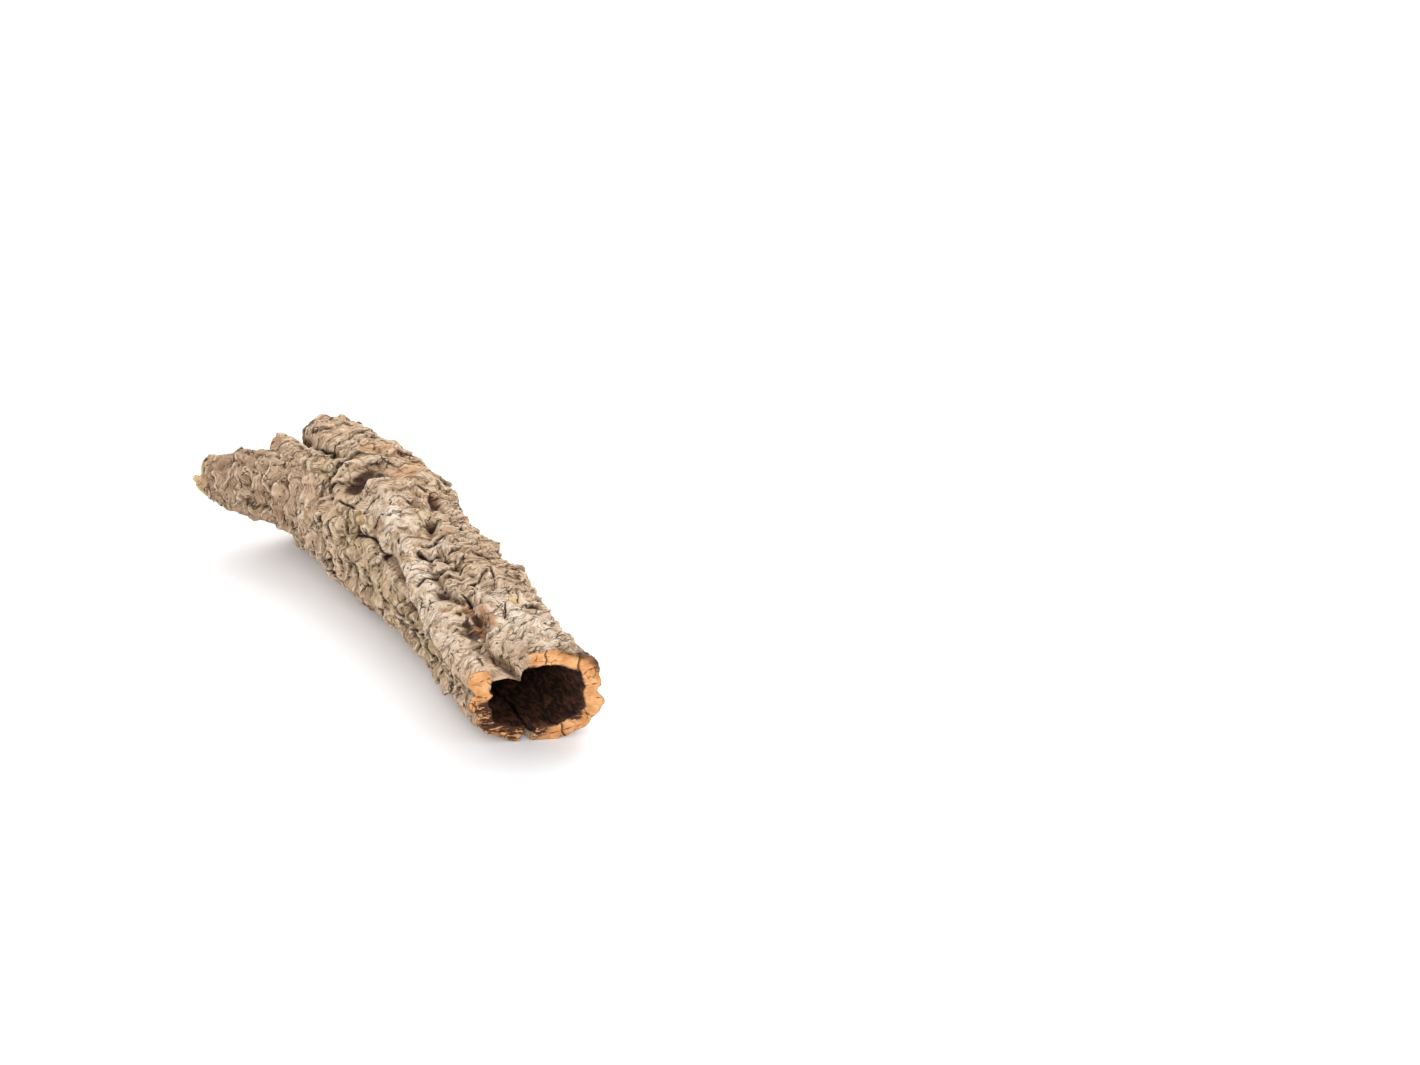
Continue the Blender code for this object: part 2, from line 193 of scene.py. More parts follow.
# Straight cracks: the two ends' x and angle, depth and half width, which CRACK_WIDTH narrows
CRACK_WIDTH = 0.75
CRACKS = [
    ((-62, 115), (-57, 141), 2.6, 0.9), ((-68, 89), (-60, 106), 2.4, 0.9),
    ((-88, 116), (-75, 109), 2.4, 1), ((-75, 109), (-60, 104), 2.4, 0.9),
    ((-61, 78), (-55, 89), 2.6, 1), ((-1, 108), (4, 129), 2.2, 0.7), ((11, 118), (13, 133), 2, 0.7),
    ((-23, 138), (-1, 131), 2.4, 1), ((4, 149), (17, 139), 2.4, 1), ((17, 139), (35, 140), 2.2, 1),
    ((5, 96), (33, 113), 1, 0.7), ((33, 113), (48, 143), 0.8, 0.7), ((36, 121), (41, 123), 2.4, 0.9),
    ((78, 138), (73, 128), 2.6, 1), ((73, 128), (74, 113), 2.6, 0.9), ((64, 95), (62, 77), 2.2, 0.9),
    ((83, 100), (78, 92), 2.4, 0.9), ((78, 92), (79, 84), 2.2, 0.9), ((88, 72), (100, 77), 2.4, 0.9),
    ((99, 112), (111, 111), 2.8, 1), ((157, 97), (154, 105), 2, 0.9), ((122, 81), (134, 91), 2.2, 0.8),
    ((147, 138), (159, 140), 1.8, 0.8), ((150, 131), (160, 133), 1.8, 0.8),
    ((154, 150), (151, 136), 1.8, 0.8), ((-69, 147), (-57, 149), 2, 0.9),
    ((-57, 149), (-46, 155), 2.2, 1), ((-53, 160), (-43, 157), 2.4, 1.1),
    ((1, 178), (10, 188), 2.4, 1), ((60, 176), (90, 182), 2.4, 1.1), ((-8, 75), (1, 62), 2.4, 1.2),
    ((44, 62), (54, 50), 1.8, 0.8), ((110, 60), (122, 66), 1.6, 0.7),
]

# How far the relief is averaged to find its creases and hollows, in steps, for the painted shade in them and
# the painted highlight on crests
CREASE_BLUR, HOLLOW_BLUR = 10, 300
# Stains of the bark, and painted shade in pits and knot hollows (dark): x, angle, half length and half width
STAINS_AND_PIT_SHADE = {
    "pale": [
        (60, 128, 32, 9), (100, 147, 40, 10), (135, 84, 30, 18), (54, 98, 9, 7), (158, 62, 25, 20),
        (20, 112, 22, 12),
    ],
    "orange": [
        (-18, 70, 9, 14), (-30, 50, 12, 10), (-51, 76, 8, 10), (-46, 64, 10, 6), (-12, 84, 6, 6),
        (4, 57, 8, 8), (156, 133, 6, 4), (-104, 150, 7, 30),
    ],
    "lip": [(112, 117, 5, 5), (123, 106, 7, 5), (133, 104, 5, 4), (126, 121, 9, 7)],
    # Painted shade in the pits and knot hollows
    "dark": [
        (-24, 118, 4.5, 8), (-26, 103, 4, 7), (-22, 93, 5, 4), (-15, 87, 6, 3), (121, 126, 6, 4),
        (130, 131, 7, 4), (120, 117, 5, 4), (88, 130, 3, 2), (31, 80, 2.5, 2.5), (3, 58, 3, 2.5),
        (9, 55, 2.5, 2.5), (51, 114, 2, 2),
    ],
    "yellow": [(3, 134, 3, 3), (120, 70, 5, 4)],
    "green": [(28, 86, 9, 7), (40, 170, 30, 12), (5, 150, 20, 12), (-45, 125, 12, 12), (90, 190, 30, 14)],
}
# Cracks of the sawn face: the two ends' y and z, and width; then depth and wander
SAWN_CRACKS = [
    ((-27, 36), (-17, 33), 0.6), ((-24, 24), (-14, 19), 0.6), ((-22, 14), (-10, 13), 0.6),
    ((-17, 7), (-4, 9), 0.6), ((-9, 2), (-1, 9), 0.6), ((28, 61), (29, 46), 0.6),
    ((41, 38), (31, 36), 0.5), ((38, 14), (29, 19), 0.6), ((24, 0), (21, 11), 0.6),
    ((12, 63), (12, 54), 0.5), ((-21, 44), (-14, 47), 0.5), ((36, 49), (30, 44), 0.5),
    ((14, 3), (30, 8), 0.5), ((20, 61), (33, 55), 0.5), ((-23, 30), (-20, 20), 0.5),
]
SAWN_CRACK_DEPTH, SAWN_CRACK_WANDER = 1.6, 0.5
# Spots of the sawn face: y, z and size; and between which distances from the face they grow
SPOTS = {
    "brown": [(-12, 16, 9), (-3, 9, 8), (-17, 26, 5), (9, 8, 6), (28, 16, 4)],
    "charred": [(32, 62, 9), (39, 54, 8), (25, 65, 6)],
    "red": [(-13, 53, 3), (2, 50, 2.5), (-10, 50, 2.5)],
}
SPOTS_GROW = (-9, -3)
# Tongue of folded-in bark in the sawn ring: its sides in y, its lower edge in z, and its waves
TONGUE_LEFT, TONGUE_RIGHT, TONGUE_LOW = (-17, -13), (2, 5), (36, 40)
TONGUE_WAVES = [(1.2, 1.9), (0.7, 0.8)]
# Along the branch: where it darkens, and where its tip turns pale
BRANCH_DARKENS, TIP_PALES = (0, 50), (80, 90)
# Torn faces: how near they are to a break, and how far from the bark and the lining
TORN_NEAR, TORN_CLEAR = 3, 0.9

# Materials of the faces
BARK, SAWN, LINING, TORN = range(4)

# Resolution: voxels of the mesh, steps of the bark's maps in x and angle, and triangles that are kept
VOXEL = 0.7
MAP_STEP, MAP_TURN = 0.5, 0.75
# The CAD part's plates are worked out on every third point of the maps
COARSE = 3
TRIANGLES = 190000
# How readily the shown surface is thinned, next to 1 for the hollow
SHOWN_WEIGHT = 0.25
# Points nearer than this are one, and points nearer to the cut than this lie on it
TOUCHING, ON_CUT = 0.01, 0.0001
# How far the mesh runs on past the saw cut before it is cut
SAW_WASTE = 2.5
# Points on the cut: spacing, and shares of it between rows and left clear at the rim
SAWN_STEP, SAWN_ROWS, RIM_CLEARANCE = 0.75, 0.87, 0.6
# Reach of the voxels in x, y and z, and how far along x the branch and its hollow reach
REACH = [(-122, 186), (-84, 48), (-2, 84)]
BRANCH_REACH = 20
# A distance that counts as out of reach
FAR = 99.0
# Heights between which all points are kept
FLOOR_CLEARANCE, HIGHEST = 0.02, 79.0


# Curves and sections

def between(x, points):
    """Smooth curve through (x, value) points."""
    xs, ys = np.array(points, dtype=float).T
    x = np.clip(x, xs[0], xs[-1])
    slope = np.gradient(ys, xs)
    i = np.clip(np.searchsorted(xs, x) - 1, 0, len(xs) - 2)
    step = xs[i + 1] - xs[i]
    t = (x - xs[i]) / step
    start = (1 + 2 * t) * (1 - t) ** 2 * ys[i] + t * (1 - t) ** 2 * step * slope[i]
    return start + t * t * (3 - 2 * t) * ys[i + 1] + t * t * (t - 1) * step * slope[i + 1]


def ease(low, high, value):
    """0 at low to 1 at high, smoothly."""
    t = np.clip((value - low) / (high - low), 0, 1)
    return t * t * (3 - 2 * t)


def at_least(least, share):
    """Share that runs from the least to 1, where the given one runs from 0 to 1."""
    return least + (1 - least) * share


def section(x, stations):
    """Centre's y and z, half width and half height of the section at x."""
    return [between(x, [(s[0], s[i]) for s in stations]) for i in (1, 2, 3, 4)]


def oval(angle, half_width, half_height):
    turn = np.radians(angle)
    flat = np.abs(np.cos(turn) / half_width) ** ROUNDNESS + np.abs(np.sin(turn) / half_height) ** ROUNDNESS
    return flat ** (-1 / ROUNDNESS)


def arc_from(angle, middle):
    """Distance round the bark from the middle angle, in millimetres."""
    return np.radians((angle - middle + 180) % 360 - 180) * BARK_RADIUS


def off_centre(x, angle, at, middle, length, width):
    """Squared distance from a place on the bark, which is 1 at its half length and half width."""
    return ((x - at) / length) ** 2 + (arc_from(angle, middle) / width) ** 2


# Relief of the bark

def furrows(x, angle):
    """Depth of the long furrows, as a negative height."""
    height = np.zeros_like(x)
    for path, depth, width in FURROWS:
        away = arc_from(angle, between(x, path))
        height -= between(x, depth) * np.exp(1 / width - np.sqrt(away ** 2 + 1) / width)
    return height


def bumps(x, angle, places):
    height = np.zeros_like(x)
    for *place, rise in places:
        height += rise * np.exp(-off_centre(x, angle, *place))
    return height


def bands(x, angle):
    height = np.zeros_like(x)
    for path, rise, width in BANDS:
        height += between(x, rise) * np.exp(-(arc_from(angle, between(x, path)) / width) ** 2)
    return height


def round_bark(x, angle, radius):
    turn = np.radians(angle)
    radius = np.broadcast_to(radius, x.shape)
    return np.stack([x, radius * np.cos(turn), radius * np.sin(turn)], axis=-1).reshape(-1, 3)


def over(places, function):
    """Values of a function of one place, for every place."""
    return np.array([function(place) for place in places])


# Repeatable noise for many places at once

DIRECTIONS = np.array([step for step in product((-1, 0, 1), repeat=3) if np.abs(step).sum() == 2])


def scrambled(whole, seed):
    """Repeatable large numbers for places with whole coordinates."""
    x, y, z = whole.T
    number = (x * 73856093) ^ (y * 19349663) ^ (z * 83492791) ^ (seed * 50331653)
    for factor in (1274126177, 668265263):
        number = (((number ^ (number >> 15)) & 0x7FFFFFFF) * factor) & 0x7FFFFFFF
    return number ^ (number >> 13)


def ripple(place, seed):
    """Smooth noise from about -1 to 1."""
    whole = np.floor(place).astype(np.int64)
    part = place - whole
    soft = part ** 3 * (part * (part * 6 - 15) + 10)
    total = np.zeros(len(place))
    for step in product((0, 1), repeat=3):
        direction = DIRECTIONS[scrambled(whole + step, seed) % len(DIRECTIONS)]
        weight = np.prod(np.where(step, soft, 1 - soft), axis=1)
        total += weight * np.sum(direction * (part - step), axis=1)
    return total


def pushed(place, size, amount, seed):
    """Places pushed about by smooth noise."""
    push = np.stack([ripple(place / size, seed + i) for i in range(3)], axis=1)
    return place + amount * push


def cells(place, seed):
    """Distances to the two nearest cell centres, and the nearest one's offset and number."""
    whole = np.floor(place).astype(np.int64)
    nearest = np.full(len(place), 9.0)
    second = nearest.copy()
    offset = np.zeros_like(place)
    number = np.zeros(len(place), dtype=np.int64)
    for step in product((-1, 0, 1), repeat=3):
        corner = whole + step
        key = scrambled(corner, seed)
        centre = corner + np.stack([key % 1021, key // 1021 % 1021, key // 1042441 % 1021], axis=1) / 1021
        away = place - centre
        distance = np.linalg.norm(away, axis=1)
        closer = distance < nearest
        second = np.where(closer, nearest, np.minimum(second, distance))
        nearest = np.where(closer, distance, nearest)
        offset = np.where(closer[:, None], away, offset)
        number = np.where(closer, key, number)
    return nearest, second, offset, number


def crumple(x, angle, radius):
    """Swellings and plates of the crumpled bark, as in the CAD part."""
    length, width, rise = SWELLING
    plate_length, plate_width, plate_rise = PLATE

    def height(place):
        swelling = noise.fractal(place / (length, width, width), FADE, FINER, SCALES)
        spot = Vector(place / (plate_length, plate_width, plate_width))
        bend = Vector([noise.noise(spot + shift) for shift in BEND_SHIFTS])
        near, second = noise.voronoi(spot + PLATE_BEND * bend)[0][:2]
        return rise * swelling + plate_rise * (ease(0, PLATE_EDGE, second - near) - PLATE_EDGE)

    radius = np.broadcast_to(radius, x.shape)
    few = (slice(None, None, COARSE), slice(None, None, COARSE))
    coarse = over(round_bark(x[few], angle[few], radius[few]), height).reshape(x[few].shape)
    return look_up(coarse, x[0, 0], x, angle, COARSE)


def lumps(place):
    """Rounded lumps with sharp creases between them."""
    bent = pushed(place, *LUMP_PUSH, seed=1)
    height = np.zeros(len(place))
    for number, (length, width, rise) in enumerate(LUMPS):
        lump = np.abs(ripple(bent / (length, width, width), seed=10 + number)) ** LUMP_SHAPE
        height += rise * (lump - LUMP_LEVEL)
    return height * at_least(CALM_LUMPS, ease(-0.25, 0.25, ripple(place / CALM_SIZE, seed=15)))


def sawtooth(turns, crest):
    """Edges that rise slowly from 0 to 1 at the crest of each turn, and then drop sharply."""
    part = turns - np.floor(turns)
    return np.minimum(part / crest, (1 - part) / (1 - crest))


def tilted_plates(place, turn):
    """Height of small tilted plates with stacked edges, and the distance across those edges."""
    length, width, uneven, tilt, gap, gap_width = TILTED_PLATE
    spacing, rise, spread, crest = PLATE_EDGES
    bent = pushed(place, *PLATE_PUSH, seed=20)
    near, second, offset, number = cells(bent / (length, width, width), seed=30)
    level = number % 97 / 96 - 0.5
    heading = np.radians(spread * (number % 361 / 180 - 1))
    beside = offset[:, 2] * np.cos(turn) - offset[:, 1] * np.sin(turn)
    across = length * offset[:, 0] * np.cos(heading) + width * beside * np.sin(heading)
    shown = ease(-0.3, 0.2, ripple(place / EDGE_PATCH, seed=45))
    edges = rise * sawtooth(across / spacing + 0.5, crest) * shown
    gaps = gap * (1 - ease(0, gap_width, second - near))
    return uneven * level + tilt * across / length + edges - gaps, across


def crackle(place):
    """Torn cracks that wander across the grain, as a share from 0 to 1."""
    length, width, share = CRACKLE
    line = ripple(pushed(place, *CRACKLE_PUSH, seed=40) / (length, width, width), seed=43)
    patch = ripple(place / CRACKLE_PATCH, seed=44)
    return (1 - np.minimum(np.abs(line) / share, 1)) * np.clip(3 * patch + 0.4, 0, 1)


def fine_bark(x, angle, radius, smooth):
    """Lumps, plates and cracks too fine for the CAD part, and the distance across the plates' edges."""
    place = round_bark(x, angle, radius)
    rough = 1 - smooth.ravel()
    plates, across = tilted_plates(place, np.radians(angle).ravel())
    patch = at_least(CALM_PLATES, ease(-0.25, 0.2, ripple(place / CALM_SIZE, seed=16)))
    height = lumps(place) * at_least(SMOOTH_LUMPS, rough) + plates * patch * at_least(SMOOTH_PLATES, rough)
    height -= CRACKLE_DEPTH * crackle(place) * at_least(SMOOTH_CRACKLE, rough)
    return height.reshape(x.shape), across.reshape(x.shape)


def patches(x, angle, places, sharpness):
    """Share of the patches at each point of the bark."""
    share = np.zeros_like(x)
    for place in places:
        share = np.maximum(share, np.exp(-off_centre(x, angle, *place) ** sharpness))
    return share


def ribs(x, angle):
    """Rows of stacked edges across the grain."""
    height = np.zeros_like(x)
    for (first, last), path, width, spacing, rise in RIBS:
        away = arc_from(angle, between(x, path))
        ends = ease(first - RIB_FADE, first + RIB_FADE, x) * (1 - ease(last - RIB_FADE, last + RIB_FADE, x))
        turns = (x + RIB_BOW * away ** 2 + RIB_WANDER * np.sin(x / 5 + away / 4)) / spacing
        height += rise * (sawtooth(turns, RIB_CREST) - 0.5) * ends * np.exp(-(away / width) ** 4)
    return height


def strokes(x, angle, places, wander):
    """Share of strokes drawn through points of x and angle, each times its height."""
    height = np.zeros_like(x)
    for points, rise, width in places:
        nearest = np.full_like(x, FAR)
        length = sum(np.hypot(b[0] - a[0], arc_from(b[1], a[1])) for a, b in zip(points, points[1:]))
        passed = 0
        taper = np.zeros_like(x)
        for (x0, a0), (x1, a1) in zip(points, points[1:]):
            run = np.array([x1 - x0, arc_from(a1, a0)])
            along = x - x0
            across = arc_from(angle, a0)
            t = np.clip((along * run[0] + across * run[1]) / (run @ run), 0, 1)
            away = np.hypot(along - t * run[0], across - t * run[1] + wander * np.sin(9 * t + x0))
            end = (passed + t * np.hypot(*run)) / length
            full = np.sqrt(np.clip(4 * end * (1 - end), 0, 1))
            taper = np.where(away < nearest, at_least(STROKE_ENDS, full), taper)
            nearest = np.minimum(nearest, away)
            passed += np.hypot(*run)
        height += rise * taper * np.exp(-(nearest / width) ** 2)
    return height


def straight_cracks(x, angle):
    """Depth of the straight cracks."""
    lines = [((start, end), depth, CRACK_WIDTH * width) for start, end, depth, width in CRACKS]
    return strokes(x, angle, lines, CRACK_WANDER)


def layered(height, share):
    """Steps the height like layers of cork, by the given share."""
    level = height / LAYER
    whole = np.floor(level)
    stepped = LAYER * (whole + ease(*LAYER_STEP, level - whole))
    return height + share * (stepped - height)


# Outer and inner radius of trunk and branch, on maps of x and angle

def grid(start, end):
    x = np.arange(start, end + MAP_STEP, MAP_STEP)
    angle = np.arange(0, 360, MAP_TURN)
    return np.meshgrid(x, angle, indexing="ij")


def look_up(table, start, x, angle, coarse=1):
    """Value of a map at x and angle, between its four nearest points."""
    i = np.clip((x - start) / (MAP_STEP * coarse), 0, table.shape[0] - 1.001)
    j = (angle % 360) / (MAP_TURN * coarse)
    low_i, low_j = i.astype(int), j.astype(int)
    share_i, share_j = i - low_i, j - low_j
    low_j = low_j % table.shape[1]
    high_j = (low_j + 1) % table.shape[1]
    low = table[low_i, low_j] * (1 - share_j) + table[low_i, high_j] * share_j
    high = table[low_i + 1, low_j] * (1 - share_j) + table[low_i + 1, high_j] * share_j
    return low * (1 - share_i) + high * share_i


def blurred(table, steps):
    """Map averaged over a few neighbours, along and around."""
    for _ in range(steps):
        padded = np.pad(table, ((1, 1), (0, 0)), mode="edge")
        table = (padded[:-2] + 2 * table + padded[2:]) / 4
        table = (np.roll(table, 1, axis=1) + 2 * table + np.roll(table, -1, axis=1)) / 4
    return table


def fibres(x, angle, radius):
    """Lengthwise fibres and soft lumps of the lining."""
    place = round_bark(x, angle, radius)
    fibre = ripple(pushed(place, *FIBRE_PUSH, seed=50) / FIBRE, seed=53)
    lump = ripple(place / SOFT_LUMP, seed=54)
    return (FIBRE_RISE * fibre + SOFT_LUMP_RISE * lump).reshape(x.shape)


def past_saw(x, y, z):
    """Distance along x past the sawn face."""
    return x - SAWN_X - SAWN_BY_Y * y - SAWN_BY_Z * z


def trunk_maps():
    """Outer radius, inner radius and relief of the trunk, and the distance across its plates' edges."""
    x, angle = grid(TRUNK[0][0], TRUNK[-1][0])
    centre_y, centre_z, half_width, half_height = section(x, TRUNK)
    around = oval(angle, half_width, half_height)
    turn = np.radians(angle)
    past = past_saw(x, centre_y + around * np.cos(turn), centre_z + around * np.sin(turn))
    smooth = np.maximum(patches(x, angle, SMOOTH_PLACES, 2), CALM_AT_SAW * ease(*CALM_BEFORE_SAW, past))
    valleys = furrows(x, angle)
    relief = valleys + bands(x, angle) + bumps(x, angle, BUMPS)
    relief += crumple(x, angle, BARK_RADIUS) * (1 - LOST_PLATES * smooth)
    fine, across = fine_bark(x, angle, BARK_RADIUS, smooth)
    relief = layered(relief + fine, LAYERED * (1 - LOST_LAYERS * smooth))
    relief += ribs(x, angle) + strokes(x, angle, FOLDS, FOLD_WANDER) + bumps(x, angle, PITS)
    relief -= straight_cracks(x, angle)
    inside = around - TRUNK_WALL + FURROW_INSIDE * valleys
    thinnest = inside + THIN_WALL + np.maximum(FINE_OVER_THIN * fine, DEEPEST_FINE)
    outside = np.maximum(around + relief, thinnest)
    return outside, inside + fibres(x, angle, LINING_RADIUS), outside - around, across


def branch_maps():
    """The same four of the side branch."""
    x, angle = grid(0, BRANCH[-1][0])
    _, _, half_width, half_height = section(x, BRANCH)
    _, _, bore_width, bore_height = section(x, BRANCH_HOLLOW)
    rough = ease(BRANCH_SMOOTH_TO, BRANCH_ROUGH_FROM, x)
    relief = crumple(x + BRANCH_SHIFT, angle, half_width) * rough
    fine, across = fine_bark(x + BRANCH_SHIFT, angle, half_width, np.full_like(x, BRANCH_CALM))
    relief = layered(relief + fine, LAYERED)
    outside = oval(angle, half_width, half_height) + relief
    inside = oval(angle, bore_width, bore_height) + BRANCH_FIBRES * fibres(x, angle, BRANCH_LINING_RADIUS)
    return outside, inside, relief, across


# Solid as a field of distances, negative in the cork

def middle_line(x, stations):
    """Centre's y and z at x."""
    steps = np.arange(stations[0][0] - 20, stations[-1][0] + 20, 1.0)
    centre_y, centre_z, _, _ = section(steps, stations)
    return np.interp(x, steps, centre_y), np.interp(x, steps, centre_z)


def trunk_place(x, y, z):
    """Angle round the trunk and distance from its middle line."""
    centre_y, centre_z = middle_line(x, TRUNK)
    y, z = y - centre_y, z - centre_z
    return np.degrees(np.arctan2(z, y)) % 360, np.hypot(y, z)


def branch_place(x, y, z, stations):
    """Distance along the branch, angle round it and distance from its middle line, and the side offset."""
    turn = np.radians(BRANCH_HEADING)
    along = (x - BRANCH_ROOT[0]) * np.cos(turn) + (y - BRANCH_ROOT[1]) * np.sin(turn)
    side = (y - BRANCH_ROOT[1]) * np.cos(turn) - (x - BRANCH_ROOT[0]) * np.sin(turn)
    centre_side, centre_z = middle_line(along, stations)
    across, rise = side - centre_side, z - centre_z
    return along, np.degrees(np.arctan2(rise, across)) % 360, np.hypot(across, rise), side


def branch_gaps(x, y, z, branch):
    """Distance along the branch, angle, side offset, and distances from its bark and from its lining."""
    along, turn, away, side = branch_place(x, y, z, BRANCH)
    _, bore_turn, bore_away, _ = branch_place(x, y, z, BRANCH_HOLLOW)
    bark = away - look_up(branch[0], 0, along, turn)
    return along, turn, side, bark, bore_away - look_up(branch[1], 0, along, bore_turn)


def tip_distance(along, side):
    """Distance past the branch's broken tip."""
    return (along - TIP_AT - TIP_SLOPE * side) / np.hypot(1, TIP_SLOPE)


def saw_distance(x, y, z):
    """Distance past the sawn face."""
    return past_saw(x, y, z) / np.sqrt(1 + SAWN_BY_Y ** 2 + SAWN_BY_Z ** 2)


def broken_x(y, z):
    """Where the broken end lies, over a flat grid of y and z."""
    def wander(place):
        return sum(depth * noise.noise(Vector(place / length)) for depth, length in BREAK_WAVES)

    places = np.stack([y, z, np.zeros_like(y)], axis=-1).reshape(-1, 3)
    return BROKEN_X + over(places, wander).reshape(y.shape)


def axis_steps(low, high):
    return np.arange(np.floor(low / VOXEL), np.ceil(high / VOXEL) + 1) * VOXEL


def solid_field(maps, branch):
    """The whole piece on a grid of voxels, with the grid's first corner."""
    gx, gy, gz = [axis_steps(low, high) for low, high in REACH]
    x, y, z = [v.astype(np.float32) for v in np.meshgrid(gx, gy, gz, indexing="ij")]
    angle, radius = trunk_place(x, y, z)
    start = TRUNK[0][0]
    flat_y, flat_z = np.meshgrid(gy, gz, indexing="ij")
    outside = np.maximum(radius - look_up(maps[0], start, x, angle), broken_x(flat_y, flat_z)[None] - x)
    inside = np.maximum(radius - look_up(maps[1], start, x, angle), HOLLOW_END - x)
    near = gx < BRANCH_REACH
    along, _, side, twig, bore = branch_gaps(x[near], y[near], z[near], branch)
    twig = np.minimum(outside[near], np.maximum(twig, -along))
    outside[near] = np.maximum(twig, tip_distance(along, side))
    inside[near] = np.minimum(inside[near], np.maximum(bore, BRANCH_HOLLOW[0][0] - along))
    share = np.clip((x - SLIT_X[0]) / (SLIT_X[1] - SLIT_X[0]), 0, 1)
    half_slit = (SLIT_WIDTHS[0] + share * (SLIT_WIDTHS[1] - SLIT_WIDTHS[0])) / 2
    past = saw_distance(x, y, z)
    half_slit *= at_least(SLIT_INSIDE, ease(*SLIT_MOUTH, past))
    long_wave, cross_wave, rise_wave = SLIT_WAVES
    middle = SLIT_Y + SLIT_WANDER * np.sin(x / long_wave) * np.sin(x / cross_wave + z / rise_wave)
    slit = np.maximum.reduce([np.abs(y - middle) - half_slit, z - SLIT_TOP, SLIT_X[0] - x])
    solid = np.maximum.reduce([outside, -inside, -slit, past - SAW_WASTE, FLOOR_CLEARANCE - z])
    return solid, np.array([gx[0], gy[0], gz[0]])


# Mesh

def add_object(name, data):
    made = bpy.data.objects.new(name, data)
    bpy.context.scene.collection.objects.link(made)
    return made


def surface_mesh(solid, corner, hidden):
    """Surface of the field, thinned to the triangles that are kept, most of all where it is hidden."""
    volume = openvdb.FloatGrid(3 * VOXEL)
    volume.copyFromArray(np.clip(solid, -3 * VOXEL, 3 * VOXEL).astype(np.float32))
    points, quads = volume.convertToQuads(isovalue=0.0)
    mesh = bpy.data.meshes.new("bark surface")
    mesh.from_pydata((points * VOXEL + corner).tolist(), [], quads[:, ::-1].tolist())
    mesh.update()
    raw = add_object("bark surface", mesh)
    group = raw.vertex_groups.new(name="hidden")
    inner = hidden(mesh_points(mesh))
    group.add(np.flatnonzero(inner).tolist(), 1.0, "REPLACE")
    group.add(np.flatnonzero(~inner).tolist(), SHOWN_WEIGHT, "REPLACE")
    thin = raw.modifiers.new("thin out", "DECIMATE")
    thin.ratio = min(1, TRIANGLES / (2 * len(quads)))
    thin.vertex_group = group.name
    evaluated = raw.evaluated_get(bpy.context.evaluated_depsgraph_get())
    thinned = bpy.data.meshes.new_from_object(evaluated)
    bpy.data.objects.remove(raw)
    return thinned


def drop_crumbs(shape):
    """Removes loose crumbs and fins, so that one closed surface is left."""
    bmesh.ops.remove_doubles(shape, verts=shape.verts[:], dist=TOUCHING)
    left = set(shape.faces)
    parts = []
    while left:
        part = [left.pop()]
        for face in part:
            near = [other for edge in face.edges if len(edge.link_faces) == 2 for other in edge.link_faces]
            new = left.intersection(near)
            left -= new
            part += new
        parts.append(part)
    parts.sort(key=len)
    bmesh.ops.delete(shape, geom=[face for part in parts[:-1] for face in part], context="FACES")


def inside_outline(points, starts, ends):
    """Whether each flat point lies inside the outline's edges."""
    crossings = np.zeros(len(points), dtype=int)
    for (y0, z0), (y1, z1) in zip(starts, ends):
        spans = (z0 > points[:, 1]) != (z1 > points[:, 1])
        if z0 != z1:
            at = y0 + (points[:, 1] - z0) * (y1 - y0) / (z1 - z0)
            crossings += spans & (points[:, 0] < at)
    return crossings % 2 == 1


def points_within(flat, starts, ends):
    """Even rows of points inside the sawn face's outline, clear of its rim."""
    (low_y, low_z), (high_y, high_z) = flat.min(axis=0), flat.max(axis=0)
    y, z = np.meshgrid(np.arange(low_y, high_y, SAWN_STEP), np.arange(low_z, high_z, SAWN_STEP * SAWN_ROWS))
    y[::2] += SAWN_STEP / 2
    inner = np.stack([y.ravel(), z.ravel()], axis=1)
    inner = inner[inside_outline(inner, starts, ends)]
    clear = [np.min(np.hypot(*(flat - point).T)) > RIM_CLEARANCE * SAWN_STEP for point in inner]
    return inner[clear]


def saw_off(mesh):
    """Cuts the mesh at the sawn face and closes the cut with fine triangles."""
    shape = bmesh.new()
    shape.from_mesh(mesh)
    drop_crumbs(shape)
    normal = Vector((1, -SAWN_BY_Y, -SAWN_BY_Z)).normalized()
    bmesh.ops.bisect_plane(shape, geom=shape.verts[:] + shape.edges[:] + shape.faces[:], dist=ON_CUT,
                           plane_co=(SAWN_X, 0, 0), plane_no=normal, clear_outer=True)
    rim = [edge for edge in shape.edges if edge.is_boundary]
    corners = list({vertex for edge in rim for vertex in edge.verts})
    number = {vertex: index for index, vertex in enumerate(corners)}
    flat = np.array([vertex.co.yz for vertex in corners])
    edges = [tuple(number[vertex] for vertex in edge.verts) for edge in rim]
    starts, ends = flat[[edge[0] for edge in edges]], flat[[edge[1] for edge in edges]]
    points = [Vector(point) for point in np.vstack([flat, points_within(flat, starts, ends)])]
    places, _, faces, origins, *_ = geometry.delaunay_2d_cdt(points, edges, [], 0, 1e-6)
    middles = np.array([np.mean([places[i] for i in face], axis=0) for face in faces])
    made = []
    for (y, z), origin in zip(places, origins):
        if origin and origin[0] < len(corners):
            made.append(corners[origin[0]])
        else:
            x = SAWN_X + SAWN_BY_Y * y + SAWN_BY_Z * z - SAWN_CRACK_DEPTH * sawn_cracks(y, z)
            made.append(shape.verts.new((x, y, z)))
    for face, keep in zip(faces, inside_outline(middles, starts, ends)):
        if keep:
            shape.faces.new([made[i] for i in face]).material_index = SAWN
    bmesh.ops.recalc_face_normals(shape, faces=shape.faces)
    shape.to_mesh(mesh)
    shape.free()


# What each point of the mesh belongs to

def mesh_points(mesh):
    points = np.empty(3 * len(mesh.vertices))
    mesh.vertices.foreach_get("co", points)
    return points.reshape(-1, 3)


